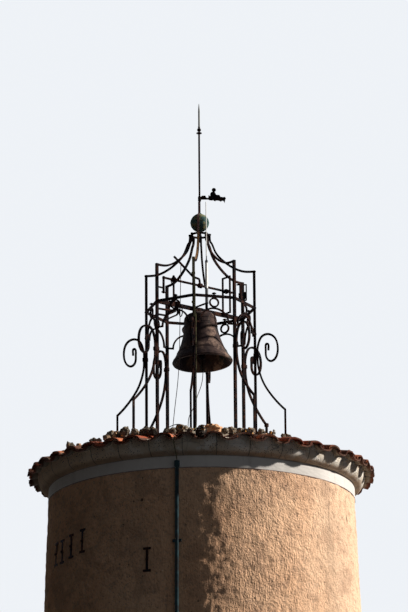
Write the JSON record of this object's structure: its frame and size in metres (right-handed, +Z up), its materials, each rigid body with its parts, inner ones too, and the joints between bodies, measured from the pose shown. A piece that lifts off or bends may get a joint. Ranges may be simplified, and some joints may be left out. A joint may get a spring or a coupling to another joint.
{
  "type": "bell tower",
  "caption": "Round rendered masonry bell tower with a tiled roof edge and a wrought iron cage that holds a bell, mast and vane.",
  "frame": {"origin": "centre of the round base on the ground", "axes": "+Z up along the tower, -Y towards the side with the down pipe, +X to the right of that side"},
  "size_m": [3.3852, 3.3579, 12.499],
  "materials": {
    "render": "rough cast lime render",
    "band": "smooth limewash",
    "cornice": "moulded plaster, weathered",
    "mortar": "rough mortar",
    "tile": "fired clay, lichen",
    "wrought_iron": "rusted",
    "copper": "verdigris",
    "bronze": "brown patina",
    "aerial": "weathered",
    "wood": "weathered planks"
  },
  "bodies": {
    "tower": {"aerial": "aerial", "aerial_arm": "wrought_iron", "arch_panels": "wrought_iron", "back_left_wall": "render", "back_right_wall": "render", "back_wall": "render", "bell": "bronze", "bell_beam": "wrought_iron", "bell_hanger": "wrought_iron", "cage_post_back": "wrought_iron", "cage_post_back_left": "wrought_iron", "cage_post_back_right": "wrought_iron", "cage_post_front": "wrought_iron", "cage_post_front_left": "wrought_iron", "cage_post_front_right": "wrought_iron", "cage_post_left": "wrought_iron", "cage_post_right": "wrought_iron", "conductor_pipe": "copper", "copper_ball": "copper", "cornice": "cornice", "door": "wood", "front_left_wall": "render", "front_right_wall": "render", "front_wall": "render", "hoop": "wrought_iron", "lightning_point": "copper", "mast": "wrought_iron", "mortar_cap": "mortar", "roof_vault": "mortar", "scroll_strut_back": "wrought_iron", "scroll_strut_back_left": "wrought_iron", "scroll_strut_back_right": "wrought_iron", "scroll_strut_front": "wrought_iron", "scroll_strut_front_left": "wrought_iron", "scroll_strut_front_right": "wrought_iron", "scroll_strut_left": "wrought_iron", "scroll_strut_right": "wrought_iron", "shaft_stands": "wrought_iron", "side_bracket": "wrought_iron", "tile_covers": "tile", "tile_pans": "tile", "top_ring": "wrought_iron", "wall_anchors": "wrought_iron", "white_band": "band"},
    "vane": {"vane": "wrought_iron"},
    "clapper": {"clapper": "wrought_iron"},
    "rocking_shaft": {"rocking_shaft": "wrought_iron"}
  },
  "joints": [
    {"name": "vane_turn", "type": "hinge", "parent": "tower", "child": "vane", "pos_m": [0, 0, 11.54], "axis": [0, 0, 1], "continuous": true},
    {"name": "clapper_swing", "type": "hinge", "parent": "tower", "child": "clapper", "pos_m": [-0.0009, -0.00693, 10.33017], "axis": [-0.6183, 0.7829, -0.0698], "range_deg": [-26, 26]},
    {"name": "shaft_rock", "type": "hinge", "parent": "tower", "child": "rocking_shaft", "pos_m": [0, 0, 10.675], "axis": [0.7848, 0.6198, 0], "range_deg": [-8, 8]}
  ]
}
